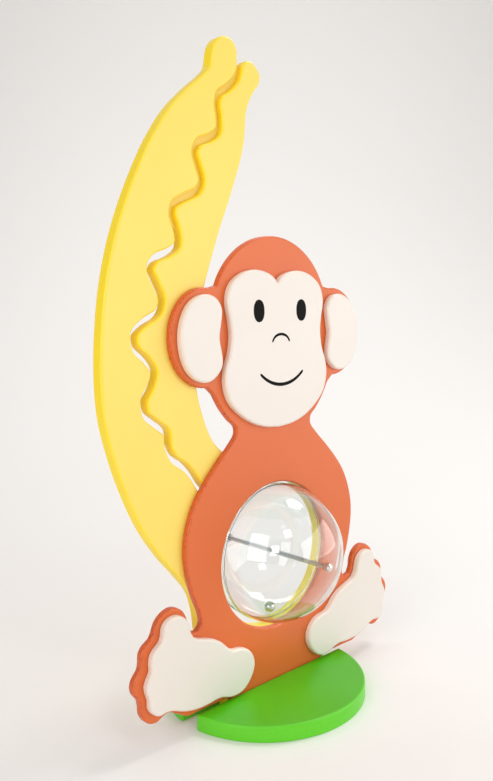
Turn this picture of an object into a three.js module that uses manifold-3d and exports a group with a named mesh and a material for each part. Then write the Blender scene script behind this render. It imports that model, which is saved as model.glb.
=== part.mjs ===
// A free-standing flat monkey toy, built up from 6 mm painted boards.
//
// Frame: millimetres, +Z up, +X to the right of someone facing the monkey, and the front looks
// along -Y. The origin is on the floor, in the middle of the three-board stack.
//
// Three boards stand face to face: the monkey in front, then two banana boards behind it. A tongue
// at the foot of the stack stands between two half-round bases. A clear ball spins in a round hole
// through the belly, on a steel axle that a bracket on the rear base carries.

import * as THREE from 'three';
import { mergeVertices } from 'three/addons/utils/BufferGeometryUtils.js';
import Module from 'manifold-3d';

const manifold = await Module();
manifold.setup();

// ---- driving dimensions --------------------------------------------------------------------

const GAP = 0.3;                          // left between pieces that touch
const STACK = 18;                         // the three boards together
const BOARD = (STACK - 2 * GAP) / 3;      // one board
const PAD = 5.8;                          // a raised cream panel

const HOLE = { z: 127, radius: 65.5 };    // through the belly
const BALL_RADIUS = 62;
const BALL_WALL = 2;
const AXIS_Z = 129;                       // height of the ball's axis
const FACE_Y = -STACK / 2;                // the monkey board's front face
const BALL_Y = FACE_Y + 4;                // the ball's seam lies just behind that face

const BASE_RADIUS = 91;
const BASE_HEIGHT = 14;
const BASE_SETBACK = 11.3;                // from a base's straight face back to its arc's centre
const BASE_X = -8;                        // the bases sit a little left, under the banana's weight
const TONGUE_HALF = 58;                   // half the width of the stack between the bases
const FOOT_Z = BASE_HEIGHT + 0.5;         // underside of the feet

const DOWEL_RADIUS = 4;
const DOWEL_X = 45;                       // each side of the middle
const DOWEL_BITE = 22;                    // how far a dowel enters each base
const DOWEL_Z = BASE_HEIGHT / 2;

const AXLE_RADIUS = 2;                    // M4 rod
const NUT_FLATS = 7;
const NUT_HEIGHT = 3.2;
const CAP_DOME = 2.2;                     // height of the cap nut's dome
const WASHER_RADIUS = 4.5;
const WASHER_HEIGHT = 0.8;
const BORE = AXLE_RADIUS + GAP;           // clearance hole for the axle

const STRIP = 3;                          // thickness of the bracket's steel
const STRIP_WIDTH = 16;
const BRACKET_Y = 77;                     // front face of the bracket's upright
const BRACKET_FOOT = 34;                  // length of the bracket's foot
const BRACKET_TOP = AXIS_Z + 13;
const SCREW_RADIUS = 1.7;
const SCREW_LENGTH = 10;
const SCREW_Y = [52, 66];

const EAR = { x: 78, z: 323.5, rx: 35, rz: 40.5 };
const HEAD = { z: 338, radius: 70 };
const SLOT_HALF = 3.2;                    // half the width of the wavy slot
const THROUGH_SLOT_TOP = 411;             // above this height the rear board is left whole

const BELL_RADIUS = 5.2;

// ---- materials -----------------------------------------------------------------------------

function paint(colour, roughness = 0.5) {
  return new THREE.MeshStandardMaterial({ color: colour, roughness, metalness: 0 });
}

function metal(colour, roughness) {
  return new THREE.MeshStandardMaterial({ color: colour, roughness, metalness: 1 });
}

const ORANGE = paint(0xea7c52);
const CREAM = paint(0xf2e9df);
const YELLOW = paint(0xfbe27c);
const GREEN = paint(0x6cc02c);
const BEECH = paint(0xd9b98a, 0.7);
const STEEL = metal(0xb8bbbd, 0.35);
const CHROME = metal(0xe6e8ea, 0.12);
const CLEAR = new THREE.MeshStandardMaterial({
  color: 0xf4f8fa, roughness: 0.05, metalness: 0, transparent: true, opacity: 0.3,
});

// ---- the assembly --------------------------------------------------------------------------

const toy = new THREE.Group();
toy.name = 'banana_monkey_toy';

function add(name, geometry, material, y = 0, x = 0, z = 0) {
  const mesh = new THREE.Mesh(geometry, material.clone());
  mesh.name = name;
  mesh.position.set(x, y, z);
  toy.add(mesh);
  return mesh;
}

// ---- outline helpers: every outline is a list of [x, z] points, seen from the front ---------

// A smooth curve through points that were chosen by hand.
function smooth(points, closed = false, perSpan = 3) {
  const knots = points.map(([x, z]) => new THREE.Vector3(x, z, 0));
  const curve = new THREE.CatmullRomCurve3(knots, closed, 'centripetal');
  const spans = closed ? points.length : points.length - 1;
  const sampled = curve.getPoints(spans * perSpan).map((p) => [p.x, p.y]);
  if (closed) sampled.pop();
  return sampled;
}

// An arc of an ellipse. The angles are in degrees, counted from +X towards +Z.
function arc(cx, cz, rx, rz, from, to, count) {
  const points = [];
  for (let i = 0; i <= count; i += 1) {
    const angle = THREE.MathUtils.degToRad(from + ((to - from) * i) / count);
    points.push([cx + rx * Math.cos(angle), cz + rz * Math.sin(angle)]);
  }
  return points;
}

function circle(cx, cz, radius, count) {
  return arc(cx, cz, radius, radius, 0, 360 - 360 / count, count - 1);
}

function mirrored(points) {
  return points.map(([x, z]) => [-x, z]).reverse();
}

function toVectors(points) {
  return points.map(([x, z]) => new THREE.Vector2(x, z));
}

// A flat plate with its outline in the X-Z plane. It runs from y = 0 back to y = thickness.
function plate(outline, holes, thickness) {
  const shape = new THREE.Shape(toVectors(outline));
  shape.holes = holes.map((hole) => new THREE.Path(toVectors(hole)));
  const geometry = new THREE.ExtrudeGeometry(shape, { depth: thickness, bevelEnabled: false });
  geometry.rotateX(Math.PI / 2);
  geometry.translate(0, thickness, 0);
  return geometry;
}

// A piece turned about the Y axis from a closed [radius, y] profile.
function turned(profile, count) {
  let area = 0;
  profile.forEach(([r, y], i) => {
    const [nextR, nextY] = profile[(i + 1) % profile.length];
    area += r * nextY - nextR * y;
  });
  const ordered = area > 0 ? [...profile] : [...profile].reverse();
  ordered.push(ordered[0]);
  const points = ordered.map(([r, y]) => new THREE.Vector2(r, y));
  return weld(new THREE.LatheGeometry(points, count));
}

// ---- solid helpers: joining and cutting -----------------------------------------------------

// Merges the vertices that faces share, and drops triangles that have no area.
function weld(geometry) {
  geometry.deleteAttribute('normal');
  geometry.deleteAttribute('uv');
  const merged = mergeVertices(geometry, 1e-4);
  const kept = [];
  const index = merged.index.array;
  for (let i = 0; i < index.length; i += 3) {
    const [a, b, c] = index.slice(i, i + 3);
    if (a !== b && b !== c && c !== a) kept.push(a, b, c);
  }
  merged.setIndex(kept);
  return merged;
}

function toSolid(geometry) {
  const merged = weld(geometry.clone());
  const mesh = new manifold.Mesh({
    numProp: 3,
    vertProperties: Float32Array.from(merged.attributes.position.array),
    triVerts: Uint32Array.from(merged.index.array),
  });
  return new manifold.Manifold(mesh);
}

function toGeometry(solid) {
  const mesh = solid.getMesh();
  const geometry = new THREE.BufferGeometry();
  geometry.setAttribute('position', new THREE.BufferAttribute(mesh.vertProperties, mesh.numProp));
  geometry.setIndex(new THREE.BufferAttribute(mesh.triVerts, 1));
  return geometry;
}

function cut(geometry, tools) {
  return toGeometry(tools.reduce((solid, tool) => solid.subtract(toSolid(tool)), toSolid(geometry)));
}

function join(first, second) {
  return toGeometry(toSolid(first).add(toSolid(second)));
}

// A round bar along Y from y = from to y = to.
function bar(radius, from, to, x, z, count = 20) {
  const geometry = new THREE.CylinderGeometry(radius, radius, to - from, count);
  geometry.translate(x, (from + to) / 2, z);
  return geometry;
}

// A round bar along Z from z = from to z = to.
function post(radius, from, to, x, y, count = 16) {
  const geometry = new THREE.CylinderGeometry(radius, radius, to - from, count);
  geometry.rotateX(Math.PI / 2);
  geometry.translate(x, y, (from + to) / 2);
  return geometry;
}

// ---- monkey board --------------------------------------------------------------------------

// Right half of the monkey, from the crown down to the middle of the tongue.
function monkeyHalf() {
  const head = arc(0, HEAD.z, HEAD.radius, HEAD.radius, 90, 23, 12);
  const ear = arc(EAR.x, EAR.z, EAR.rx, EAR.rz, 97, -92, 20);
  const neckAndBody = smooth([
    [70, 277], [62, 264], [53, 253.5], [46.5, 247.5], [46, 241], [53, 232.5],
    [66, 220], [80, 205.5], [92, 189.5], [100, 171], [103.5, 152], [101.5, 131],
    [96.5, 112], [90.5, 97], [89.5, 88.5], [94, 83.5], [100, 85],
  ]);
  const foot = smooth([
    [100, 85], [103, 90], [104, 97], [107, 103.5], [113, 108.5], [120, 110], [128, 107.5],
    [134.5, 101.5], [137.5, 94.5], [140.5, 90], [146, 86.5], [150, 81], [150.8, 74.5],
    [152, 69], [156.5, 63.5], [159, 57], [157.5, 50.5], [153.5, 45], [152.3, 39], [152, 33],
    [148.5, 26.5], [142.5, 22], [136, 21.5], [130.5, 24], [125, 25], [118, 21.5],
    [112, 18], [105, FOOT_Z], [96, FOOT_Z],
  ], false, 2);
  const tongue = [[TONGUE_HALF, FOOT_Z], [TONGUE_HALF, 0]];
  return [...head, ...ear, ...neckAndBody, ...foot.slice(1), ...tongue];
}

const monkeyOutline = [...monkeyHalf(), ...mirrored(monkeyHalf()).slice(0, -1)];

// The ball's hole, and the two dowel holes in the tongue, are the same in all three boards.
const stackHoles = [
  circle(0, HOLE.z, HOLE.radius, 72),
  circle(-DOWEL_X, DOWEL_Z, DOWEL_RADIUS + GAP, 20),
  circle(DOWEL_X, DOWEL_Z, DOWEL_RADIUS + GAP, 20),
];

add('monkey_board', plate(monkeyOutline, stackHoles, BOARD), ORANGE, FACE_Y);

// ---- raised cream panels ---------------------------------------------------------------------

const faceHalf = smooth([
  [0, 367.8], [4.5, 372.8], [13, 376.8], [27, 378.7], [42, 375], [54, 365.5], [58, 352],
  [55.5, 338], [54, 325], [56, 311], [61, 297], [62, 285], [57.5, 270.5], [46, 258.5],
  [31, 249.3], [15.5, 244.5], [0, 243],
]);

const earPanel = smooth([
  [80, 358.5], [90, 356], [98, 350], [103.5, 341], [106.5, 331], [107, 320], [105, 308.5],
  [100, 298], [92.5, 291], [84, 288], [76, 289], [69, 294], [64.5, 301], [64.5, 309],
  [67, 323], [64.5, 338], [64, 347], [70, 355.5],
], true);

const footPanel = smooth([
  [35, 41.5], [38, 49], [44, 54.5], [52, 57.3], [60, 58.5], [66, 63], [72, 69], [79, 73.5],
  [87, 76.5], [95, 79], [101, 82], [104.5, 87.5], [106.5, 95], [110, 101], [116, 104.5],
  [122, 104.8], [128, 102.5], [131.5, 97.5], [132.5, 91.5], [134.5, 87.5], [139, 84],
  [143, 79.5], [144.5, 73], [144.5, 67], [147, 62], [149.5, 56], [148.8, 50], [147, 44],
  [147, 38], [144, 32.5], [138, 29], [131, 29.5], [124, 28], [117, 25], [108, 22],
  [98, 20.5], [87, 20.5], [79, 21.3], [72, 20.5], [64, 17.8], [54, 17.3], [46, 20.3],
  [39, 27.5], [35.5, 34.5],
], true, 2);

const padY = FACE_Y - GAP - PAD;
const faceOutline = [...faceHalf, ...mirrored(faceHalf).slice(1, -1)];
add('face_panel', plate(faceOutline, [], PAD), CREAM, padY);
for (const [side, outline] of [['ear', earPanel], ['foot', footPanel]]) {
  add(`${side}_panel_right`, plate(outline, [], PAD), CREAM, padY);
  add(`${side}_panel_left`, plate(mirrored(outline), [], PAD), CREAM, padY);
}

// ---- banana boards ---------------------------------------------------------------------------

// The slot's middle line, from the mouth between the two stem tips down to its blind end.
const slotLine = smooth([
  [-28, 547], [-32, 535.5], [-42, 525.5], [-51.5, 519], [-54, 511], [-52.5, 500],
  [-53.5, 490], [-62, 483.5], [-74, 478.5], [-78.5, 470.5], [-75.5, 460], [-72, 449],
  [-76.5, 440.5], [-90, 434], [-100.5, 428], [-102.5, 419.5], [-98.5, 408], [-98, 397.5],
  [-107, 391], [-120, 386], [-125, 378], [-120, 366], [-115, 354], [-119, 344.5],
  [-132, 337.5], [-141.5, 329], [-140.5, 317.5], [-130.5, 308], [-124.5, 299],
  [-128, 288], [-134.5, 278], [-133, 266], [-123, 257.5], [-114, 250], [-113, 239],
  [-107.5, 228], [-96, 219.5], [-88, 210.5], [-81, 200], [-72, 190],
]);

const throughSlotLine = slotLine.filter(([, z]) => z < THROUGH_SLOT_TOP);

// One edge of a slot. side is -1 for the left edge and +1 for the right one, going down.
function slotEdge(line, side) {
  return line.map(([x, z], i) => {
    const [ax, az] = line[Math.max(i - 1, 0)];
    const [bx, bz] = line[Math.min(i + 1, line.length - 1)];
    const length = Math.hypot(bx - ax, bz - az);
    const across = (side * SLOT_HALF) / length;
    return [x - (bz - az) * across, z + (bx - ax) * across];
  });
}

// A slot's round blind end at b, for a slot that arrives from a.
function roundEnd([ax, az], [bx, bz]) {
  const heading = THREE.MathUtils.radToDeg(Math.atan2(bz - az, bx - ax));
  return arc(bx, bz, SLOT_HALF, SLOT_HALF, heading + 90, heading - 90, 8).slice(1, -1);
}

// Down the right edge of a slot, round its lower end and back up the left edge.
function slotSides(line) {
  return [
    ...slotEdge(line, 1),
    ...roundEnd(line.at(-2), line.at(-1)),
    ...slotEdge(line, -1).reverse(),
  ];
}

const outerTipAndBack = smooth([
  [-31.7, 549.5], [-31.5, 556.5], [-35, 562.5], [-42, 565.5], [-50, 563.5], [-56, 557.5],
  [-58.8, 549], [-61, 539], [-68, 531.5], [-84, 518.5], [-103, 500.5], [-121, 476],
  [-135, 451], [-147, 425.5], [-157.5, 397.5], [-166, 365], [-171, 331], [-173, 298],
  [-171.5, 268], [-165, 239], [-155, 209], [-140, 176], [-122, 149], [-104, 127.5],
  [-93.5, 113], [-88.5, 98], [-86, 80], [-83, 50], [-78, FOOT_Z],
]);

const bellyAndInnerEdge = smooth([
  [79, FOOT_Z], [84, 50], [87, 80], [89, 112], [88, 142], [79, 172], [61, 197], [34, 211],
  [4, 214], [-25, 215], [-45, 220], [-59, 229.5], [-67.5, 239], [-74, 252.5], [-79, 267],
  [-82.5, 283], [-83.5, 304], [-81, 329], [-76, 352], [-69, 373], [-61, 394], [-52.5, 415],
  [-43.5, 434.5], [-35.5, 453.5], [-29.5, 469], [-25.5, 483], [-23.5, 497], [-22, 509],
  [-18, 519], [-12.5, 527], [-7, 534], [-5.8, 541], [-10, 547], [-16.5, 550.8], [-21.5, 550],
]);

// stemGap is the stretch of outline from the inner stem tip across to the outer one.
function bananaBoard(stemGap, holes) {
  const outline = [
    ...outerTipAndBack,
    [-TONGUE_HALF, FOOT_Z], [-TONGUE_HALF, 0], [TONGUE_HALF, 0], [TONGUE_HALF, FOOT_Z],
    ...bellyAndInnerEdge,
    ...stemGap,
  ];
  return plate(outline, holes, BOARD);
}

// The front board is cut along the whole slot, and the rear one only along its lower part.
const throughSlot = [
  ...slotSides(throughSlotLine),
  ...roundEnd(throughSlotLine[1], throughSlotLine[0]),
];
const frontBoard = bananaBoard(slotSides(slotLine), stackHoles);
const rearBoard = bananaBoard([[-26.5, 545.5]], [...stackHoles, throughSlot]);
add('banana_front_board', frontBoard, YELLOW, FACE_Y + BOARD + GAP);
add('banana_rear_board', rearBoard, YELLOW, FACE_Y + 2 * (BOARD + GAP));

// ---- half-round bases and their dowels -----------------------------------------------------

// facing is -1 for the front base and +1 for the rear one.
function baseBlank(facing) {
  const straightY = facing * (STACK / 2 + GAP);
  const centreY = straightY - facing * BASE_SETBACK;
  const spread = THREE.MathUtils.radToDeg(Math.asin(BASE_SETBACK / BASE_RADIUS));
  const bow = arc(BASE_X, 0, BASE_RADIUS, BASE_RADIUS, spread, 180 - spread, 40);
  const outline = bow.map(([x, y]) => [x, centreY + facing * y]);
  const shape = new THREE.Shape(toVectors(outline));
  return new THREE.ExtrudeGeometry(shape, { depth: BASE_HEIGHT, bevelEnabled: false });
}

const dowelEnd = STACK / 2 + DOWEL_BITE;
const dowelBores = [-DOWEL_X, DOWEL_X].map((x) => (
  bar(DOWEL_RADIUS + GAP, -dowelEnd - GAP, dowelEnd + GAP, x, DOWEL_Z)
));
const screwBores = SCREW_Y.map((y) => (
  post(SCREW_RADIUS + GAP, BASE_HEIGHT - SCREW_LENGTH - GAP, BASE_HEIGHT + 1, 0, y)
));

add('base_front', cut(baseBlank(-1), dowelBores), GREEN);
add('base_rear', cut(baseBlank(1), [...dowelBores, ...screwBores]), GREEN);

// A dowel with its ends eased.
const dowelProfile = [
  [0, -dowelEnd], [DOWEL_RADIUS - 1, -dowelEnd], [DOWEL_RADIUS, -dowelEnd + 1],
  [DOWEL_RADIUS, dowelEnd - 1], [DOWEL_RADIUS - 1, dowelEnd], [0, dowelEnd],
];
add('base_dowel_left', turned(dowelProfile, 20), BEECH, 0, -DOWEL_X, DOWEL_Z);
add('base_dowel_right', turned(dowelProfile, 20), BEECH, 0, DOWEL_X, DOWEL_Z);

// ---- clear ball: two half shells that meet just behind the monkey board's front face --------

// A quarter circle from the pole hole to the seam, as [radius, y] with y away from the seam.
function quarter(radius, seam, count) {
  const first = Math.asin(BORE / radius);
  const last = Math.acos(seam / radius);
  const points = [];
  for (let i = 0; i <= count; i += 1) {
    const angle = first + ((last - first) * i) / count;
    points.push([radius * Math.sin(angle), radius * Math.cos(angle)]);
  }
  return points;
}

const seam = GAP / 2;
const inner = BALL_RADIUS - BALL_WALL;
const plainHalf = [...quarter(BALL_RADIUS, seam, 14), ...quarter(inner, seam, 14).reverse()];
add('ball_front_half', turned(plainHalf.map(([r, y]) => [r, -y]), 48), CLEAR, BALL_Y, 0, AXIS_Z);

// The rear half has a thin lip that steps forward inside the front half.
const lipOuter = inner - GAP;
const lipInner = lipOuter - 1;
const lippedHalf = [
  ...quarter(BALL_RADIUS, seam, 14),
  [lipOuter, seam], [lipOuter, -2.5], [lipInner, -2.5], [lipInner, 2.5],
  ...quarter(inner, 6, 13).reverse(),
];
add('ball_rear_half', turned(lippedHalf, 48), CLEAR, BALL_Y, 0, AXIS_Z);

// ---- axle, nuts and washers ------------------------------------------------------------------

const frontPole = BALL_Y - BALL_RADIUS;
const rearPole = BALL_Y + BALL_RADIUS;
const bracketBack = BRACKET_Y + STRIP;

function hexagon(flats) {
  const corner = flats / 2 / Math.cos(Math.PI / 6);
  return arc(0, 0, corner, corner, 30, 330, 5);
}

function nut() {
  return plate(hexagon(NUT_FLATS), [circle(0, 0, BORE, 20)], NUT_HEIGHT);
}

function washer() {
  return plate(circle(0, 0, WASHER_RADIUS, 24), [circle(0, 0, BORE, 20)], WASHER_HEIGHT);
}

// A low cap nut: a hexagon at y = 0 to NUT_HEIGHT with a dome in front, bored from behind.
function capNut() {
  const domeRadius = NUT_FLATS / 2 - 0.2;
  const dome = [[0, -CAP_DOME]];
  for (let i = 1; i <= 6; i += 1) {
    const angle = (Math.PI / 2) * (i / 6);
    dome.push([domeRadius * Math.sin(angle), -CAP_DOME * Math.cos(angle)]);
  }
  dome.push([domeRadius, 1], [0, 1]);
  const blank = join(plate(hexagon(NUT_FLATS), [], NUT_HEIGHT), turned(dome, 24));
  return cut(blank, [bar(BORE, -1, NUT_HEIGHT + 1, 0, 0)]);
}

const capY = frontPole - GAP - NUT_HEIGHT;
const stopY = rearPole + 2 * GAP + WASHER_HEIGHT;
const clampY = bracketBack + 2 * GAP + WASHER_HEIGHT;
const axleFront = capY - 1 + GAP;
const axleBack = clampY + NUT_HEIGHT + 2;

add('axle_rod', bar(AXLE_RADIUS, axleFront, axleBack, 0, AXIS_Z, 24), STEEL);
add('front_cap_nut', capNut(), CHROME, capY, 0, AXIS_Z);
add('rear_washer', washer(), STEEL, rearPole + GAP, 0, AXIS_Z);
add('rear_stop_nut', nut(), STEEL, stopY, 0, AXIS_Z);
add('bracket_nut_front', nut(), STEEL, BRACKET_Y - 2 * GAP - WASHER_HEIGHT - NUT_HEIGHT, 0, AXIS_Z);
add('bracket_washer_front', washer(), STEEL, BRACKET_Y - GAP - WASHER_HEIGHT, 0, AXIS_Z);
add('bracket_washer_rear', washer(), STEEL, bracketBack + GAP, 0, AXIS_Z);
add('bracket_nut_rear', nut(), STEEL, clampY, 0, AXIS_Z);

// ---- bracket behind the ball -----------------------------------------------------------------

// The side view of the bent strip, as [y, z], with rounded bends.
function bracketBlank() {
  const under = BASE_HEIGHT + GAP;
  const side = [
    ...arc(bracketBack - STRIP, under + STRIP, STRIP, STRIP, -90, 0, 5),
    [bracketBack, BRACKET_TOP], [BRACKET_Y, BRACKET_TOP], [BRACKET_Y, under + STRIP],
    [bracketBack - BRACKET_FOOT, under + STRIP], [bracketBack - BRACKET_FOOT, under],
  ];
  const shape = new THREE.Shape(toVectors(side));
  const geometry = new THREE.ExtrudeGeometry(shape, { depth: STRIP_WIDTH, bevelEnabled: false });
  geometry.rotateX(Math.PI / 2);
  geometry.rotateZ(Math.PI / 2);
  geometry.translate(-STRIP_WIDTH / 2, 0, 0);
  return geometry;
}

const screwSeat = BASE_HEIGHT + GAP + STRIP + GAP;
const bracketHoles = SCREW_Y.map((y) => (
  post(SCREW_RADIUS + GAP, BASE_HEIGHT - 1, screwSeat + 1, 0, y)
));
bracketHoles.push(bar(BORE, BRACKET_Y - 1, bracketBack + 1, 0, AXIS_Z));
add('axle_bracket', cut(bracketBlank(), bracketHoles), STEEL);

// A round-head wood screw, turned point down and seated on the bracket's foot.
function woodScrew() {
  const tip = BASE_HEIGHT - SCREW_LENGTH - screwSeat;
  const profile = [
    [0, tip], [SCREW_RADIUS, tip + 3], [SCREW_RADIUS, 0], [3.4, 0],
    [3.3, 0.8], [2.6, 1.6], [1.4, 2.1], [0, 2.2],
  ];
  const geometry = turned(profile, 20);
  geometry.rotateX(Math.PI / 2);
  return geometry;
}

add('bracket_screw_front', woodScrew(), STEEL, SCREW_Y[0], 0, screwSeat);
add('bracket_screw_rear', woodScrew(), STEEL, SCREW_Y[1], 0, screwSeat);

// ---- loose bell inside the ball --------------------------------------------------------------

// A thin round bell with two crossed slots in its underside, like a small sleigh bell.
function sleighBell() {
  const shell = [];
  for (let i = 0; i <= 10; i += 1) {
    const angle = (Math.PI * i) / 10;
    shell.push([BELL_RADIUS * Math.sin(angle), -BELL_RADIUS * Math.cos(angle)]);
  }
  const hollow = new THREE.SphereGeometry(BELL_RADIUS - 0.7, 16, 10);
  const slotA = new THREE.BoxGeometry(1, 2 * BELL_RADIUS - 2, BELL_RADIUS);
  const slotB = new THREE.BoxGeometry(2 * BELL_RADIUS - 2, 1, BELL_RADIUS);
  slotA.translate(0, 0, -BELL_RADIUS / 2 - 1);
  slotB.translate(0, 0, -BELL_RADIUS / 2 - 1);
  return cut(turned(shell, 20), [hollow, slotA, slotB]);
}

const bellBack = 7;                       // behind the seam, clear of the lip
const bellReach = Math.sqrt((inner - BELL_RADIUS - GAP) ** 2 - bellBack ** 2);
add('rattle_bell', sleighBell(), CHROME, BALL_Y + bellBack, 0, AXIS_Z - bellReach);

export default toy;
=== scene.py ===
# %% [markdown]
# # A board-cut monkey with a rattle ball
#
# The toy is three painted boards on a green foot, with a clear ball turning on a steel axle. The CAD
# frame gives every piece its size and place. Blender adds what a toy maker adds after the saw: edges
# rounded over, coats of paint, a drawn face, polished plastic and plated steel.

import math

import bmesh
import bpy
import numpy as np
from mathutils import Matrix, Vector


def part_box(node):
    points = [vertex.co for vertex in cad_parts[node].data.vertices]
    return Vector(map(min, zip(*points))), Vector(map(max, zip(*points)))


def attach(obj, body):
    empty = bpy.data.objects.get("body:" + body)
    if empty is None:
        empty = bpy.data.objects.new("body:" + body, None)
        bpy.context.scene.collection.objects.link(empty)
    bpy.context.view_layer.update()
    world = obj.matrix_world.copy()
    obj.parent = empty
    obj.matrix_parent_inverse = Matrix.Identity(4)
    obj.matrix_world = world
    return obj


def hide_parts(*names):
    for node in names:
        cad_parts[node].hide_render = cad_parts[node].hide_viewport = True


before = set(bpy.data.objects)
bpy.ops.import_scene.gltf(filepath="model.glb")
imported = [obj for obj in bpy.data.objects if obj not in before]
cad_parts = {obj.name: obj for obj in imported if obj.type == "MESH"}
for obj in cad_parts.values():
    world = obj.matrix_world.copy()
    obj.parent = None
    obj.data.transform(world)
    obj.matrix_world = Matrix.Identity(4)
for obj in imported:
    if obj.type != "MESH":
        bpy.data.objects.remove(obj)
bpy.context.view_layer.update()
MM = 0.001


# %% [markdown]
# ## Small helpers for colour and nodes
#
# A paint chip is read as an sRGB hex value, while the renderer mixes light in linear values, so one
# function converts them. Materials are node graphs: one function adds a node, sets its inputs and
# links other nodes into it.

# %% Colour and node helpers
def linear(hex_colour):
    channels = [int(hex_colour[i:i + 2], 16) / 255 for i in (1, 3, 5)]
    mixed = [c / 12.92 if c <= 0.04045 else ((c + 0.055) / 1.055) ** 2.4 for c in channels]
    return (*mixed, 1.0)


def add_node(tree, kind, settings=None, **inputs):
    node = tree.nodes.new(kind)
    for key, value in (settings or {}).items():
        setattr(node, key, value)
    for key, value in inputs.items():
        socket = node.inputs[int(key[1:])] if key[0] == "_" else node.inputs[key.replace("_", " ")]
        if isinstance(value, bpy.types.NodeSocket):
            tree.links.new(value, socket)
        else:
            socket.default_value = value
    return node


def new_material(name):
    material = bpy.data.materials.new(name)
    material.use_nodes = True
    tree = material.node_tree
    tree.nodes.clear()
    output = add_node(tree, "ShaderNodeOutputMaterial")
    return material, tree, output


print("paint chip #EC7C50 in linear light:", [round(c, 3) for c in linear("#EC7C50")])


# %% [markdown]
# ## The camera
#
# The camera stands to the toy's left front, a little above the axle, as someone would see it on a
# table. The focal length and the distance decide how strongly the near foot grows against the far
# one, so both are kept as measured values, and the slight roll is that of a hand-held camera.

# %% Camera
AZIMUTH, ELEVATION, ROLL = (math.radians(angle) for angle in (-42.80, 6.06, -1.05))
TARGET = Vector((-34.14, -9.0, 277.48)) * MM
DISTANCE = 665.82 * MM
SENSOR = 36.0
LENS = 36.27

back = Vector((
    math.sin(AZIMUTH) * math.cos(ELEVATION),
    -math.cos(AZIMUTH) * math.cos(ELEVATION),
    math.sin(ELEVATION),
))
level_right = Vector((0, 0, 1)).cross(back).normalized()
level_up = back.cross(level_right)
right = math.cos(ROLL) * level_right + math.sin(ROLL) * level_up
up = math.cos(ROLL) * level_up - math.sin(ROLL) * level_right

camera_data = bpy.data.cameras.new("camera")
camera_data.sensor_width = SENSOR
camera_data.lens = LENS
camera_data.clip_start = 0.01
camera_data.clip_end = 30
camera = bpy.data.objects.new("camera", camera_data)
camera.matrix_world = Matrix.Translation(TARGET + back * DISTANCE) @ Matrix(
    (right, up, back)
).transposed().to_4x4()
bpy.context.scene.collection.objects.link(camera)
bpy.context.scene.camera = camera
print("camera at (mm):", [round(v / MM) for v in camera.location])


# %% [markdown]
# ## The table and the backdrop
#
# A sheet of pale card lies flat under the toy and curves up behind it. The curve is wide and has no
# edge to catch light, so the toy seems to stand in plain brightness. The card is one swept strip.

# %% Card sweep
def make_sweep():
    half_width, front, bend_start, radius, height = 4.0, -3.0, 0.8, 2.2, 4.0
    steps = 32
    profile = [(front, 0.0), (bend_start, 0.0)]
    for i in range(1, steps + 1):
        angle = math.pi / 2 * i / steps
        profile.append((bend_start + radius * math.sin(angle), radius * (1 - math.cos(angle))))
    profile.append((bend_start + radius, height))
    turn = Matrix.Rotation(AZIMUTH, 3, "Z")
    bm = bmesh.new()
    rows = [
        [bm.verts.new(turn @ Vector((side * half_width, y, z))) for side in (-1, 1)]
        for y, z in profile
    ]
    for near, far in zip(rows, rows[1:]):
        bm.faces.new((near[0], near[1], far[1], far[0]))
    mesh = bpy.data.meshes.new("card_sweep")
    bm.to_mesh(mesh)
    bm.free()
    for face in mesh.polygons:
        face.use_smooth = True
    sweep = bpy.data.objects.new("card_sweep", mesh)
    bpy.context.scene.collection.objects.link(sweep)
    material, tree, output = new_material("matt_white_card")
    place = add_node(tree, "ShaderNodeTexCoord")
    fibre = add_node(
        tree, "ShaderNodeTexNoise",
        Vector=place.outputs["Object"], Scale=1 / (2 * MM), Detail=3.0,
    )
    tint = add_node(
        tree, "ShaderNodeMix", {"data_type": "RGBA"},
        Factor=fibre.outputs["Fac"], _6=linear("#F0EDEA"), _7=linear("#F5F2F0"),
    )
    card = add_node(tree, "ShaderNodeBsdfPrincipled", Base_Color=tint.outputs[2], Roughness=0.9)
    tree.links.new(card.outputs["BSDF"], output.inputs["Surface"])
    mesh.materials.append(material)
    return sweep


card_sweep = make_sweep()
print("card sweep faces:", len(card_sweep.data.polygons))


# %% [markdown]
# ## Soft studio light
#
# A dim even world stands in for pale walls all round. A wide window-like panel at the right front is
# the key light, and its reflection veils the right of the ball. A tall soft box at the left lights the
# board edges. Three small ones, one of them high at the right, give the paint its sheen, the feet
# their faint shadows and the ball its small square highlights. The last lamp lights the backdrop.

# %% World and lamps
def make_world(strength):
    world = bpy.data.worlds.new("white_studio")
    world.use_nodes = True
    world.node_tree.nodes["Background"].inputs["Color"].default_value = linear("#FFFDFB")
    world.node_tree.nodes["Background"].inputs["Strength"].default_value = strength
    bpy.context.scene.world = world


def add_soft_box(name, place, aim, width, height, power):
    lamp = bpy.data.lights.new(name, "AREA")
    lamp.shape = "RECTANGLE"
    lamp.size = width
    lamp.size_y = height
    lamp.energy = power
    holder = bpy.data.objects.new(name, lamp)
    holder.location = place
    holder.rotation_mode = "QUATERNION"
    holder.rotation_quaternion = (Vector(aim) - Vector(place)).to_track_quat("-Z", "Y")
    bpy.context.scene.collection.objects.link(holder)


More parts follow.
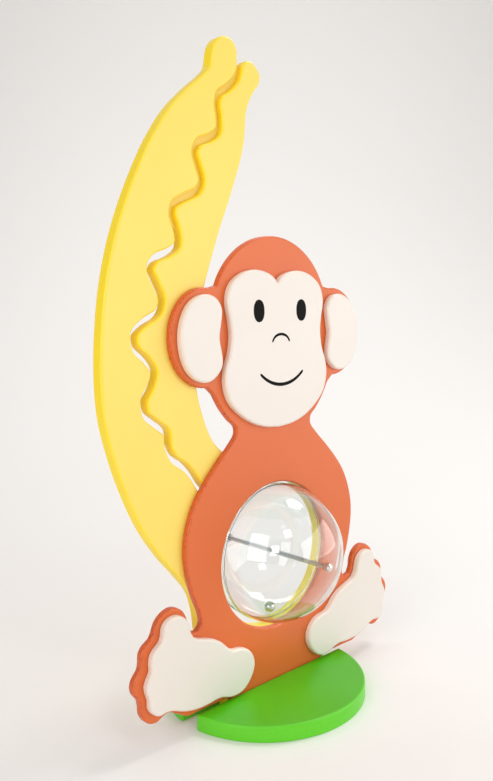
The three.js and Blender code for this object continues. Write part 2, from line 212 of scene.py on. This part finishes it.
MIDDLE = (0.0, 0.0, 0.25)
BEHIND = Vector((-math.sin(AZIMUTH), math.cos(AZIMUTH), 0.0))
make_world(0.42)
add_soft_box("window_panel", (0.9, -1.1, 0.30), MIDDLE, 2.1, 1.1, 12.5)
add_soft_box("upper_right_soft_box", (0.75, -0.15, 1.5), MIDDLE, 0.4, 0.4, 6)
add_soft_box("left_soft_box", (-1.6, -0.5, 0.8), MIDDLE, 1.0, 1.4, 10)
add_soft_box("near_soft_box", (-1.15, -1.25, 0.75), MIDDLE, 0.35, 0.35, 3)
add_soft_box("high_soft_box", (-0.35, -1.3, 1.35), MIDDLE, 0.35, 0.35, 2.5)
add_soft_box(
    "backdrop_soft_box", BEHIND * 0.9 + Vector((0, 0, 2.0)), BEHIND * 2.6 + Vector((0, 0, 0.3)),
    2.6, 0.8, 22)
bpy.context.scene.view_settings.view_transform = "Standard"
print("lamps in watts:", {lamp.name: lamp.energy for lamp in bpy.data.lights})


# %% [markdown]
# ## Paint on board
#
# The boards are fine fibreboard under sprayed water-based enamel. Sprayed paint dries to a faint
# orange peel, dimples about a millimetre across. The routed edge gets a colour of its own, which is
# painted light: bounce light on the yellow slot walls, a pink glow on the cream panel edges and
# lighter sides on the green base. On the orange it is slightly deeper. A few short scuffs run along
# the fibres. Paint film has an index near 1.5 and dries to a satin.

# %% Painted board material
ORANGE_PEEL = 1.2 * MM
MOTTLE = 45 * MM
EDGE_FIBRE = 2.5 * MM


def sprayed_enamel(name, face_hex, deep_hex, edge_light_hex, scuff_hex, scuffs, roughness=0.34):
    material, tree, output = new_material(name)
    place = add_node(tree, "ShaderNodeTexCoord")
    edge = add_node(tree, "ShaderNodeAttribute", {"attribute_name": "edge"})
    mottle = add_node(
        tree, "ShaderNodeTexNoise",
        Vector=place.outputs["Object"], Scale=1 / MOTTLE, Detail=2.0,
    )
    face = add_node(
        tree, "ShaderNodeMix", {"data_type": "RGBA"},
        Factor=mottle.outputs["Fac"], _6=linear(face_hex), _7=linear(deep_hex),
    )
    along = add_node(
        tree, "ShaderNodeMapping",
        Vector=place.outputs["Object"], Scale=(1.0, 3.0, 1.0),
    )
    fibre = add_node(
        tree, "ShaderNodeTexNoise",
        Vector=along.outputs["Vector"], Scale=1 / EDGE_FIBRE, Detail=4.0, Roughness=0.6,
    )
    # Painted light: the routed edge is mixed towards its own edge colour, which stands in for the light
    # these edges catch.
    edge_light_tone = add_node(
        tree, "ShaderNodeMix", {"data_type": "RGBA"},
        Factor=edge.outputs["Fac"], _6=face.outputs[2], _7=linear(edge_light_hex),
    )
    scuff_spots = add_node(
        tree, "ShaderNodeMapRange", {"interpolation_type": "SMOOTHSTEP"},
        Value=fibre.outputs["Fac"], From_Min=0.54, From_Max=0.64, To_Max=scuffs,
    )
    scuff = add_node(
        tree, "ShaderNodeMath", {"operation": "MULTIPLY"},
        _0=scuff_spots.outputs["Result"], _1=edge.outputs["Fac"],
    )
    colour = add_node(
        tree, "ShaderNodeMix", {"data_type": "RGBA"},
        Factor=scuff.outputs["Value"], _6=edge_light_tone.outputs[2], _7=linear(scuff_hex),
    )
    peel = add_node(
        tree, "ShaderNodeTexNoise",
        Vector=place.outputs["Object"], Scale=1 / ORANGE_PEEL, Detail=1.0,
    )
    sheen = add_node(
        tree, "ShaderNodeMapRange",
        Value=peel.outputs["Fac"], To_Min=roughness - 0.05, To_Max=roughness + 0.08,
    )
    height = add_node(
        tree, "ShaderNodeMath", {"operation": "MULTIPLY_ADD"},
        _0=scuff.outputs["Value"], _1=-0.8, _2=peel.outputs["Fac"],
    )
    dimples = add_node(
        tree, "ShaderNodeBump", Height=height.outputs["Value"], Strength=0.12, Distance=0.1 * MM,
    )
    paint = add_node(
        tree, "ShaderNodeBsdfPrincipled",
        Base_Color=colour.outputs[2], Roughness=sheen.outputs["Result"],
        IOR=1.5, Normal=dimples.outputs["Normal"],
    )
    tree.links.new(paint.outputs["BSDF"], output.inputs["Surface"])
    return material


# The third colour of each paint is painted edge light: saturated bounce light in the yellow slot, a pink
# glow on cream edges, lighter green base sides, a slightly deeper orange.
orange_enamel = sprayed_enamel(
    "sprayed_enamel_orange", "#DC6A2E", "#D8652B", "#D65F2C", "#7C321C", scuffs=0.9)
cream_enamel = sprayed_enamel(
    "sprayed_enamel_cream", "#E8E0D8", "#E5DCD3", "#EBDACC", "#D2B69E", scuffs=0.3)
yellow_enamel = sprayed_enamel(
    "sprayed_enamel_yellow", "#F6DA66", "#F4D65E", "#FFDF22", "#D0A818", scuffs=0.15)
green_enamel = sprayed_enamel(
    "sprayed_enamel_green", "#4EB804", "#4AB304", "#60CE1A", "#429A0E", scuffs=0.15)
print("paints:", [m.name for m in bpy.data.materials if m.name.startswith("sprayed")])


# %% [markdown]
# ## Finding a board's outline
#
# A maker cuts a board on a scroll saw and then runs a round-over bit along its edges. The same two
# steps work here. First the saw line is read back from the CAD board: it is where the flat front face
# ends. The corners of the CAD line are then softened into a smooth curve.

# %% Outline from a CAD board
FRONT_VIEW = (Vector((1, 0, 0)), Vector((0, 0, 1)), Vector((0, -1, 0)))
UNDER_VIEW = (Vector((1, 0, 0)), Vector((0, -1, 0)), Vector((0, 0, -1)))


def flat_face_loops(node, view):
    across, upward, facing = view
    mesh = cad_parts[node].data
    depth = max(v.co.dot(facing) for v in mesh.vertices)

    def key(index):
        spot = mesh.vertices[index].co
        return round(spot.dot(across), 6), round(spot.dot(upward), 6)

    directed = set()
    for face in mesh.polygons:
        on_face = all(depth - mesh.vertices[i].co.dot(facing) < 1e-5 for i in face.vertices)
        if face.normal.dot(facing) > 0.99 and on_face:
            corners = [key(i) for i in face.vertices]
            directed.update(zip(corners, corners[1:] + corners[:1]))
    following = {a: b for a, b in directed if (b, a) not in directed}
    loops = []
    while following:
        start = next(iter(sorted(following)))
        loop = [start]
        step = following.pop(start)
        while step != start:
            loop.append(step)
            step = following.pop(step)
        loops.append(np.array(loop))
    return sorted(loops, key=len, reverse=True)


def turn_at(points):
    before = points - np.roll(points, 1, axis=0)
    after = np.roll(points, -1, axis=0) - points
    cross = before[:, 0] * after[:, 1] - before[:, 1] * after[:, 0]
    return np.arctan2(cross, (before * after).sum(axis=1))


outline_check = flat_face_loops("monkey_board", FRONT_VIEW)
print("monkey board: outline and holes have", [len(loop) for loop in outline_check], "points")


# %% [markdown]
# The curve through the CAD points is a Catmull-Rom spline, which passes through each of them. Real
# corners, such as those of the foot's tongue, are found by how sharply the line turns. They are cut
# back to a small arc, so that the round-over can follow the line there too.

# %% Smooth the outline
CORNER_TURN = math.radians(38)
CORNER_EASE = 2.6 * MM
ARC_POINTS = 5


def ease_corners(points, radius):
    turns = turn_at(points)
    eased = []
    corner = []
    for i, spot in enumerate(points):
        if abs(turns[i]) < CORNER_TURN:
            eased.append(spot)
            corner.append(False)
            continue
        before = points[i - 1] - spot
        after = points[(i + 1) % len(points)] - spot
        cut = min(radius * math.tan(abs(turns[i]) / 2),
                  0.4 * np.linalg.norm(before), 0.4 * np.linalg.norm(after))
        first = spot + before / np.linalg.norm(before) * cut
        last = spot + after / np.linalg.norm(after) * cut
        for t in np.linspace(0, 1, ARC_POINTS):
            eased.append((1 - t) ** 2 * first + 2 * t * (1 - t) * spot + t * t * last)
            corner.append(True)
    return np.array(eased), np.array(corner)


def smooth_loop(points, corner, pieces=3):
    smooth = []
    count = len(points)
    for i in range(count):
        p0, p1, p2, p3 = (points[(i + k) % count] for k in (-1, 0, 1, 2))
        smooth.append(p1)
        if corner[i] and corner[(i + 1) % count]:
            continue
        span = np.linalg.norm(p2 - p1)
        lead = (p2 - p0) / max(np.linalg.norm(p2 - p0), 1e-9) * span
        trail = (p3 - p1) / max(np.linalg.norm(p3 - p1), 1e-9) * span
        for t in np.arange(1, pieces) / pieces:
            smooth.append(
                (2 * t**3 - 3 * t**2 + 1) * p1 + (t**3 - 2 * t**2 + t) * lead
                + (3 * t**2 - 2 * t**3) * p2 + (t**3 - t**2) * trail
            )
    return np.array(smooth)


def outward_normals(points):
    before = points - np.roll(points, 1, axis=0)
    after = np.roll(points, -1, axis=0) - points
    before /= np.linalg.norm(before, axis=1, keepdims=True)
    after /= np.linalg.norm(after, axis=1, keepdims=True)
    tangent = before + after
    tangent /= np.linalg.norm(tangent, axis=1, keepdims=True)
    return np.stack([tangent[:, 1], -tangent[:, 0]], axis=1)


easy_line = smooth_loop(*ease_corners(outline_check[0], CORNER_EASE))
print("monkey outline:", len(outline_check[0]), "saw points become", len(easy_line), "smooth ones")


# %% [markdown]
# ## Rounding a board over
#
# The board is built as rings that share one outline: from the front face, round the front edge, down
# the wall and round the rear edge. Each ring is the outline moved inwards by the cutter's curve. The
# exact direction of the curve is stored as the surface normal, so a few rings already shade as a true
# quarter round, and the big faces stay dead flat. Each ring also stores how far it has turned from the
# face, in an attribute named edge, and the paint uses it to know where it lies on a routed edge.

# %% Rounded plate rings
FRONT_STEPS = 5
REAR_STEPS = 4


def quarter_round(start, end, steps):
    return [math.radians(start + (end - start) * i / steps) for i in range(steps + 1)]


def rounded_plate(name, loops, view, front, depth, front_round, rear_round, corner=CORNER_EASE):
    across, upward, facing = (np.array(v) for v in view)
    places, normals, edge_marks, faces = [], [], [], []
    caps = ([], [])
    for loop in loops:
        outline = smooth_loop(*ease_corners(loop, corner))
        out = outward_normals(outline)
        rear = rear_round(outline, out) if callable(rear_round) else rear_round
        rings = []
        for angle in quarter_round(0, 90, FRONT_STEPS):
            inset = front_round * (1 - math.sin(angle)) + np.zeros(len(outline))
            rings.append((angle, inset, front_round * (1 - math.cos(angle)) + 0 * inset))
        for angle in quarter_round(90, 180, REAR_STEPS):
            inset = rear * (1 - math.sin(angle)) + np.zeros(len(outline))
            rings.append((angle, inset, depth - rear * (1 + math.cos(angle)) + 0 * inset))
        first = len(places)
        count = len(outline)
        for angle, inset, behind in rings:
            flat = outline - out * inset[:, None]
            spots = flat[:, :1] * across + flat[:, 1:] * upward
            spots = spots + (front - behind)[:, None] * facing
            leaning = out[:, :1] * across + out[:, 1:] * upward
            places.extend(spots)
            normals.extend(math.cos(angle) * facing + math.sin(angle) * leaning)
            edge_marks.extend([math.sin(angle)] * count)
        for ring in range(len(rings) - 1):
            low = first + ring * count
            for i in range(count):
                j = (i + 1) % count
                faces.append((low + i, low + count + i, low + count + j, low + j))
        caps[0].append([first + i for i in range(count)])
        caps[1].append([first + (len(rings) - 1) * count + i for i in range(count)])
    return plate_mesh(name, places, normals, edge_marks, faces, caps, facing)


print("a 2 mm round-over has rings at",
      [round(math.degrees(a)) for a in quarter_round(0, 90, FRONT_STEPS)], "degrees")


# %% [markdown]
# The rings become a mesh, and the flat front and back are filled between the outline and its holes. A
# finished board rides on its body and takes the place of its CAD node.

# %% Plate mesh
def plate_mesh(name, places, normals, edge_marks, faces, caps, facing):
    bm = bmesh.new()
    verts = [bm.verts.new(spot) for spot in places]
    for face in faces:
        bm.faces.new([verts[i] for i in face])
    for side, rings in zip((1, -1), caps):
        rim = []
        for ring in rings:
            rim += [bm.edges.get((verts[a], verts[b])) for a, b in zip(ring, ring[1:] + ring[:1])]
        filled = bmesh.ops.triangle_fill(bm, edges=rim, use_beauty=True, normal=side * Vector(facing))
        for face in (f for f in filled["geom"] if isinstance(f, bmesh.types.BMFace)):
            if face.normal.dot(Vector(facing)) * side < 0:
                face.normal_flip()
    mesh = bpy.data.meshes.new(name)
    bm.to_mesh(mesh)
    bm.free()
    for face in mesh.polygons:
        face.use_smooth = True
    mesh.normals_split_custom_set_from_vertices([Vector(n).normalized() for n in normals])
    mark = mesh.attributes.new("edge", "FLOAT", "POINT")
    mark.data.foreach_set("value", edge_marks)
    plate = bpy.data.objects.new(name, mesh)
    bpy.context.scene.collection.objects.link(plate)
    return plate


def dress(piece, node, material, body="stand"):
    piece.data.materials.append(material)
    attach(piece, body)
    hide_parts(node)


def rounded_board(node, material, front_round, rear_round, rear_skin=0.0):
    low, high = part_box(node)
    plate = rounded_plate(
        node + "_painted", flat_face_loops(node, FRONT_VIEW), FRONT_VIEW,
        -low.y, high.y - low.y + rear_skin, front_round, rear_round)
    dress(plate, node, material)
    print(f"{node}: {len(plate.data.polygons)} faces")


print("nodes to rebuild as painted boards:", [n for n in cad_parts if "board" in n or "panel" in n])


# %% [markdown]
# ## The monkey and its panels
#
# The orange board carries cream panels for the face, ears and feet. Each was shaped on its own with a
# 2 mm round-over before painting, which is why a thin shadow line runs all round it.

# %% Monkey board and cream panels
MONKEY_ROUND = 1.9 * MM
MONKEY_REAR_EASE = 0.7 * MM
PANEL_ROUND = 2.2 * MM
PANEL_REAR_EASE = 0.3 * MM

rounded_board("monkey_board", orange_enamel, MONKEY_ROUND, MONKEY_REAR_EASE)
PANELS = ["face_panel", "ear_panel_left", "ear_panel_right", "foot_panel_left", "foot_panel_right"]
for panel in PANELS:
    rounded_board(panel, cream_enamel, PANEL_ROUND, PANEL_REAR_EASE)


# %% [markdown]
# ## The banana
#
# Two boards are glued face to face. Outside, the glue line was filled and painted over. The wavy slot
# is sawn through both boards in its lower part and through the front one only above. No filler tool
# fits inside it, so each board keeps a small eased edge there and a dark joint shows. A point of the
# outline is in the slot if another stretch of wall faces it closely.

# %% Banana boards
SLOT_WIDTH = 6.4 * MM
SLOT_MATCH = 2.5 * MM
SLOT_EASE = 0.5 * MM
GLUED_EASE = 0.03 * MM
GLUE_LINE = 0.3 * MM
BANANA_ROUND = 2.2 * MM


def joint_ease(outline, out):
    facing_spot = outline + out * SLOT_WIDTH
    gaps = np.linalg.norm(facing_spot[:, None, :] - outline[None, :, :], axis=2).min(axis=1)
    return np.where(gaps < SLOT_MATCH, SLOT_EASE, GLUED_EASE)


def rear_board_seen_from_behind():
    low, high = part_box("banana_rear_board")
    behind = (Vector((-1, 0, 0)), Vector((0, 0, 1)), Vector((0, 1, 0)))
    plate = rounded_plate(
        "banana_rear_board_painted", flat_face_loops("banana_rear_board", behind), behind,
        high.y, high.y - low.y + GLUE_LINE / 2, BANANA_ROUND, joint_ease)
    dress(plate, "banana_rear_board", yellow_enamel)


rounded_board(
    "banana_front_board", yellow_enamel, BANANA_ROUND, joint_ease,
    rear_skin=GLUE_LINE / 2)
rear_board_seen_from_behind()


# %% [markdown]
# ## The half-round bases
#
# Each base is thick board cut to a bow and rounded over along its top. It is read from below, where
# its outline is whole.

# %% Green bases
BASE_UNDER_EASE = 0.6 * MM
BASE_TOP_ROUND = 2.0 * MM
BASE_CORNER = 4.0 * MM

for base in ("base_front", "base_rear"):
    low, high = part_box(base)
    plate = rounded_plate(
        base + "_painted", flat_face_loops(base, UNDER_VIEW)[:1], UNDER_VIEW,
        -low.z, high.z - low.z, BASE_UNDER_EASE, BASE_TOP_ROUND, corner=BASE_CORNER)
    dress(plate, base, green_enamel)
    print(f"{base}: {len(plate.data.polygons)} faces")


# %% [markdown]
# ## The drawn face
#
# Eyes, nose and smile are printed in black enamel on the cream panel. Ink stands a fraction of a
# millimetre proud and has a clean edge, so each mark is its own thin film, slightly domed. The lines
# end in round tips and are a little thicker in the middle, like a brush stroke.

# %% Face marks
INK_HEIGHT = 0.15 * MM
FACE_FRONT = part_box("face_panel")[0].y


def film_object(name, spine, half_widths, material):
    tangents = np.gradient(spine, axis=0)
    tangents /= np.linalg.norm(tangents, axis=1, keepdims=True)
    side = np.stack([-tangents[:, 1], tangents[:, 0]], axis=1)
    bm = bmesh.new()
    rows = []
    for spot, across, half in zip(spine, side, half_widths):
        row = []
        for step in np.linspace(-1, 1, 9):
            lift = INK_HEIGHT * math.sqrt(max(0.0, 1 - step**4))
            x, z = spot + across * half * step
            row.append(bm.verts.new((x, FACE_FRONT - 0.02 * MM - lift, z)))
        rows.append(row)
    for near, far in zip(rows, rows[1:]):
        for i in range(len(near) - 1):
            bm.faces.new((near[i], near[i + 1], far[i + 1], far[i]))
    bmesh.ops.recalc_face_normals(bm, faces=bm.faces)
    mesh = bpy.data.meshes.new(name)
    bm.to_mesh(mesh)
    bm.free()
    for face in mesh.polygons:
        face.use_smooth = True
    film = bpy.data.objects.new(name, mesh)
    bpy.context.scene.collection.objects.link(film)
    film.data.materials.append(material)
    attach(film, "stand")


def black_enamel():
    material, tree, output = new_material("printed_enamel_black")
    place = add_node(tree, "ShaderNodeTexCoord")
    grain = add_node(
        tree, "ShaderNodeTexNoise", Vector=place.outputs["Object"], Scale=1 / (0.8 * MM), Detail=2.0)
    tone = add_node(
        tree, "ShaderNodeMix", {"data_type": "RGBA"},
        Factor=grain.outputs["Fac"], _6=linear("#070606"), _7=linear("#110E0E"))
    sheen = add_node(
        tree, "ShaderNodeMapRange", Value=grain.outputs["Fac"], To_Min=0.55, To_Max=0.65)
    ink = add_node(
        tree, "ShaderNodeBsdfPrincipled",
        Base_Color=tone.outputs[2], Roughness=sheen.outputs["Result"], IOR=1.5,
        Specular_IOR_Level=0.1)
    tree.links.new(ink.outputs["BSDF"], output.inputs["Surface"])
    return material


ink = black_enamel()


def arc_spine(centre, radius, start, end, count=41):
    angles = np.radians(np.linspace(start, end, count))
    return np.stack([centre[0] + radius * np.cos(angles), centre[1] + radius * np.sin(angles)], axis=1)


def stroke_widths(half, count, tip):
    along = np.linspace(-1, 1, count)
    swell = half * (1 - 0.25 * along**2)
    return swell * np.sqrt(np.clip((1 - np.abs(along)) / tip, 0, 1)) + 0.02 * MM


def eye_widths(half, count):
    along = np.linspace(-1, 1, count)
    return half * np.sqrt(np.clip(1 - np.abs(along) ** 2.3, 0, 1)) + 0.02 * MM


for side, x in (("left", -23.6 * MM), ("right", 28.0 * MM)):
    height = np.linspace(-9.6, 9.6, 33) * MM + 344.2 * MM
    film_object("eye_" + side, np.stack([x + 0 * height, height], axis=1),
                eye_widths(6.3 * MM, 33), ink)

nose_angle = np.radians(np.linspace(172, 8, 41))
nose = np.stack([(2.2 + 10.4 * np.cos(nose_angle)) * MM,
                 (316.0 + 7.9 * np.sin(nose_angle)) * MM], axis=1)
film_object("nose_line", nose, stroke_widths(1.15 * MM, 41, 0.05), ink)
smile = arc_spine((3.0 * MM, 318.0 * MM), 37.7 * MM, 225.5, 314.5)
film_object("smile_line", smile, stroke_widths(1.5 * MM, 41, 0.04), ink)
print("face marks: 2 eyes, nose line, smile line")


# %% [markdown]
# ## The clear ball
#
# The ball is moulded in two halves of clear polystyrene that snap together. Each half is spun from a
# profile with many more steps than its CAD node has, because clear plastic shows every facet.

# %% Spun pieces
SPIN_STEPS = 128


def spun(name, profile, centre):
    """Turns a closed (radius, y) profile about the Y axis through centre. All in metres."""
    bm = bmesh.new()
    rings = []
    for step in range(SPIN_STEPS):
        angle = 2 * math.pi * step / SPIN_STEPS
        rings.append([
            bm.verts.new((centre[0] + r * math.cos(angle), centre[1] + y, centre[2] + r * math.sin(angle)))
            for r, y in profile
        ])
    count = len(profile)
    for step, ring in enumerate(rings):
        following = rings[(step + 1) % SPIN_STEPS]
        for i in range(count):
            j = (i + 1) % count
            bm.faces.new((ring[i], ring[j], following[j], following[i]))
    bmesh.ops.remove_doubles(bm, verts=bm.verts, dist=1e-6)
    bmesh.ops.dissolve_degenerate(bm, edges=bm.edges, dist=1e-7)
    bmesh.ops.recalc_face_normals(bm, faces=bm.faces)
    mesh = bpy.data.meshes.new(name)
    bm.to_mesh(mesh)
    bm.free()
    for face in mesh.polygons:
        face.use_smooth = True
    mesh.set_sharp_from_angle(angle=math.radians(30))
    piece = bpy.data.objects.new(name, mesh)
    bpy.context.scene.collection.objects.link(piece)
    return piece


print("one spin step is", 360 / SPIN_STEPS, "degrees")


# %% [markdown]
# Clear polystyrene is glossy and bends light more than acrylic does, with an index of 1.59. Handling
# leaves a faint smear that varies over some 18 mm, and the moulding leaves slow ripples. Light for the
# shadows passes straight through, since such thin walls throw almost no shadow.

# %% Ball material
def clear_polystyrene():
    material, tree, output = new_material("moulded_polystyrene_clear")
    place = add_node(tree, "ShaderNodeTexCoord")
    smear = add_node(
        tree, "ShaderNodeTexNoise", Vector=place.outputs["Object"], Scale=1 / (18 * MM), Detail=4.0)
    haze = add_node(
        tree, "ShaderNodeMapRange", Value=smear.outputs["Fac"], From_Min=0.35, From_Max=0.75,
        To_Min=0.015, To_Max=0.05)
    ripple = add_node(
        tree, "ShaderNodeTexNoise", Vector=place.outputs["Object"], Scale=1 / (14 * MM), Detail=1.0)
    flow = add_node(
        tree, "ShaderNodeBump", Height=ripple.outputs["Fac"], Strength=0.05, Distance=0.5 * MM)
    plastic = add_node(
        tree, "ShaderNodeBsdfPrincipled",
        Base_Color=linear("#FBFDFD"), Roughness=haze.outputs["Result"], IOR=1.59,
        Transmission_Weight=1.0, Normal=flow.outputs["Normal"])
    ray = add_node(tree, "ShaderNodeLightPath")
    open_air = add_node(tree, "ShaderNodeBsdfTransparent", Color=linear("#F6F9F9"))
    blend = add_node(
        tree, "ShaderNodeMixShader", _0=ray.outputs["Is Shadow Ray"],
        _1=plastic.outputs["BSDF"], _2=open_air.outputs["BSDF"])
    tree.links.new(blend.outputs["Shader"], output.inputs["Surface"])
    return material


polystyrene = clear_polystyrene()
print("ball material:", polystyrene.name)


# %% [markdown]
# Each half ends at a pole hole for the axle. The rear half carries a short lip that steps inside the
# front one and keeps the halves in line. The wall and the lip are drawn a little thinner than in CAD,
# which keeps the bent light at the rim of the ball to a fine line.

# %% Ball halves
BALL_LOW, BALL_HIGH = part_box("ball_front_half")
BALL_RADIUS = (BALL_HIGH.x - BALL_LOW.x) / 2
WALL = 1.5 * MM
POLE_HOLE = 2.3 * MM
BALL_CENTRE = Vector((0.0, -5.0 * MM, (BALL_LOW.z + BALL_HIGH.z) / 2))
SEAM = 0.02 * MM
LIP_GAP = 0.3 * MM
LIP_THICKNESS = 0.5 * MM
LIP_REACH = 1.2 * MM
LIP_BLEND = 3.0 * MM


def quarter_profile(radius, seam, count=40):
    first = math.asin(POLE_HOLE / radius)
    last = math.acos(seam / radius)
    angles = np.linspace(first, last, count)
    return [(radius * math.sin(a), radius * math.cos(a)) for a in angles]


outer = quarter_profile(BALL_RADIUS, SEAM)
inner = quarter_profile(BALL_RADIUS - WALL, SEAM)
front_half = spun("ball_front_shell", [(r, -y) for r, y in outer + inner[::-1]], BALL_CENTRE)
lip_outer = BALL_RADIUS - WALL - LIP_GAP
lip_inner = lip_outer - LIP_THICKNESS
lip_profile = [
    (lip_outer, SEAM), (lip_outer, -LIP_REACH), (lip_inner, -LIP_REACH), (lip_inner, LIP_REACH),
]
rear_inner = quarter_profile(BALL_RADIUS - WALL, LIP_BLEND)
rear_half = spun("ball_rear_shell", outer + lip_profile + rear_inner[::-1], BALL_CENTRE)
for piece, node in ((front_half, "ball_front_half"), (rear_half, "ball_rear_half")):
    dress(piece, node, polystyrene, body="ball")
print("ball radius in mm:", round(BALL_RADIUS / MM, 2))


# %% [markdown]
# ## Plated steel
#
# The axle and its fixings are zinc-plated steel: bright, slightly blue, with fine drawing lines and
# small tone changes from grain to grain. The cap nut and the bell are polished nickel over steel. The
# two dowels that pin the bases are turned beech, with its long fine pores.

# %% Metal materials
def plated_steel(name, light_hex, dark_hex, rough_low, rough_high, grain):
    material, tree, output = new_material(name)
    place = add_node(tree, "ShaderNodeTexCoord")
    spangle = add_node(
        tree, "ShaderNodeTexNoise", Vector=place.outputs["Object"], Scale=1 / grain, Detail=3.0)
    tone = add_node(
        tree, "ShaderNodeMix", {"data_type": "RGBA"},
        Factor=spangle.outputs["Fac"], _6=linear(dark_hex), _7=linear(light_hex))
    rough = add_node(
        tree, "ShaderNodeMapRange", Value=spangle.outputs["Fac"], To_Min=rough_low, To_Max=rough_high)
    scratch_room = add_node(
        tree, "ShaderNodeMapping", Vector=place.outputs["Object"], Scale=(1.0, 0.08, 1.0))
    scratches = add_node(
        tree, "ShaderNodeTexNoise", Vector=scratch_room.outputs["Vector"], Scale=1 / (0.25 * MM))
    lines = add_node(
        tree, "ShaderNodeBump", Height=scratches.outputs["Fac"], Strength=0.08, Distance=0.02 * MM)
    metal = add_node(
        tree, "ShaderNodeBsdfPrincipled",
        Base_Color=tone.outputs[2], Metallic=1.0, Roughness=rough.outputs["Result"],
        Normal=lines.outputs["Normal"])
    tree.links.new(metal.outputs["BSDF"], output.inputs["Surface"])
    return material


zinc_plate = plated_steel("zinc_plated_steel", "#DCDFE0", "#BCC1C4", 0.22, 0.38, 1.5 * MM)
nickel_plate = plated_steel("polished_nickel_plate", "#E8E8E6", "#D4D4D2", 0.05, 0.14, 3 * MM)


def turned_beech():
    material, tree, output = new_material("turned_beech")
    place = add_node(tree, "ShaderNodeTexCoord")
    long_grain = add_node(
        tree, "ShaderNodeMapping", Vector=place.outputs["Object"], Scale=(1.0, 0.06, 1.0))
    grain = add_node(
        tree, "ShaderNodeTexNoise", Vector=long_grain.outputs["Vector"], Scale=1 / (0.7 * MM), Detail=5.0)
    tone = add_node(
        tree, "ShaderNodeMix", {"data_type": "RGBA"},
        Factor=grain.outputs["Fac"], _6=linear("#C79F6C"), _7=linear("#E2C698"))
    pores = add_node(
        tree, "ShaderNodeBump", Height=grain.outputs["Fac"], Strength=0.2, Distance=0.1 * MM)
    wood = add_node(
        tree, "ShaderNodeBsdfPrincipled",
        Base_Color=tone.outputs[2], Roughness=0.65, Normal=pores.outputs["Normal"])
    tree.links.new(wood.outputs["BSDF"], output.inputs["Surface"])
    return material


beech = turned_beech()
print("metals and wood:", zinc_plate.name, nickel_plate.name, beech.name)


# %% [markdown]
# ## Nuts, washers, axle and bracket
#
# These are small and exact in CAD already, so they are carried over. A narrow bevel breaks their sharp
# edges, as tumbling does after they are pressed, and catches a thin line of light.

# %% Finish the carried-over hardware
def finish_cad_node(node, material, width):
    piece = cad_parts[node]
    piece.data.materials.clear()
    piece.data.materials.append(material)
    bevel = piece.modifiers.new("broken_edges", "BEVEL")
    bevel.width = width
    bevel.segments = 2
    bevel.limit_method = "ANGLE"
    bevel.angle_limit = math.radians(35)
    for face in piece.data.polygons:
        face.use_smooth = True
    piece.modifiers.new("even_shading", "WEIGHTED_NORMAL")


NUTS = ["rear_stop_nut", "bracket_nut_front", "bracket_nut_rear"]
WASHERS = ["rear_washer", "bracket_washer_front", "bracket_washer_rear"]
for node in NUTS + WASHERS + ["axle_rod", "bracket_screw_front", "bracket_screw_rear"]:
    finish_cad_node(node, zinc_plate, 0.15 * MM)
finish_cad_node("axle_bracket", zinc_plate, 0.4 * MM)
finish_cad_node("front_cap_nut", nickel_plate, 0.2 * MM)
finish_cad_node("rattle_bell", nickel_plate, 0.15 * MM)
for dowel in ("base_dowel_left", "base_dowel_right"):
    finish_cad_node(dowel, beech, 0.2 * MM)
print("carried over:", NUTS + WASHERS)
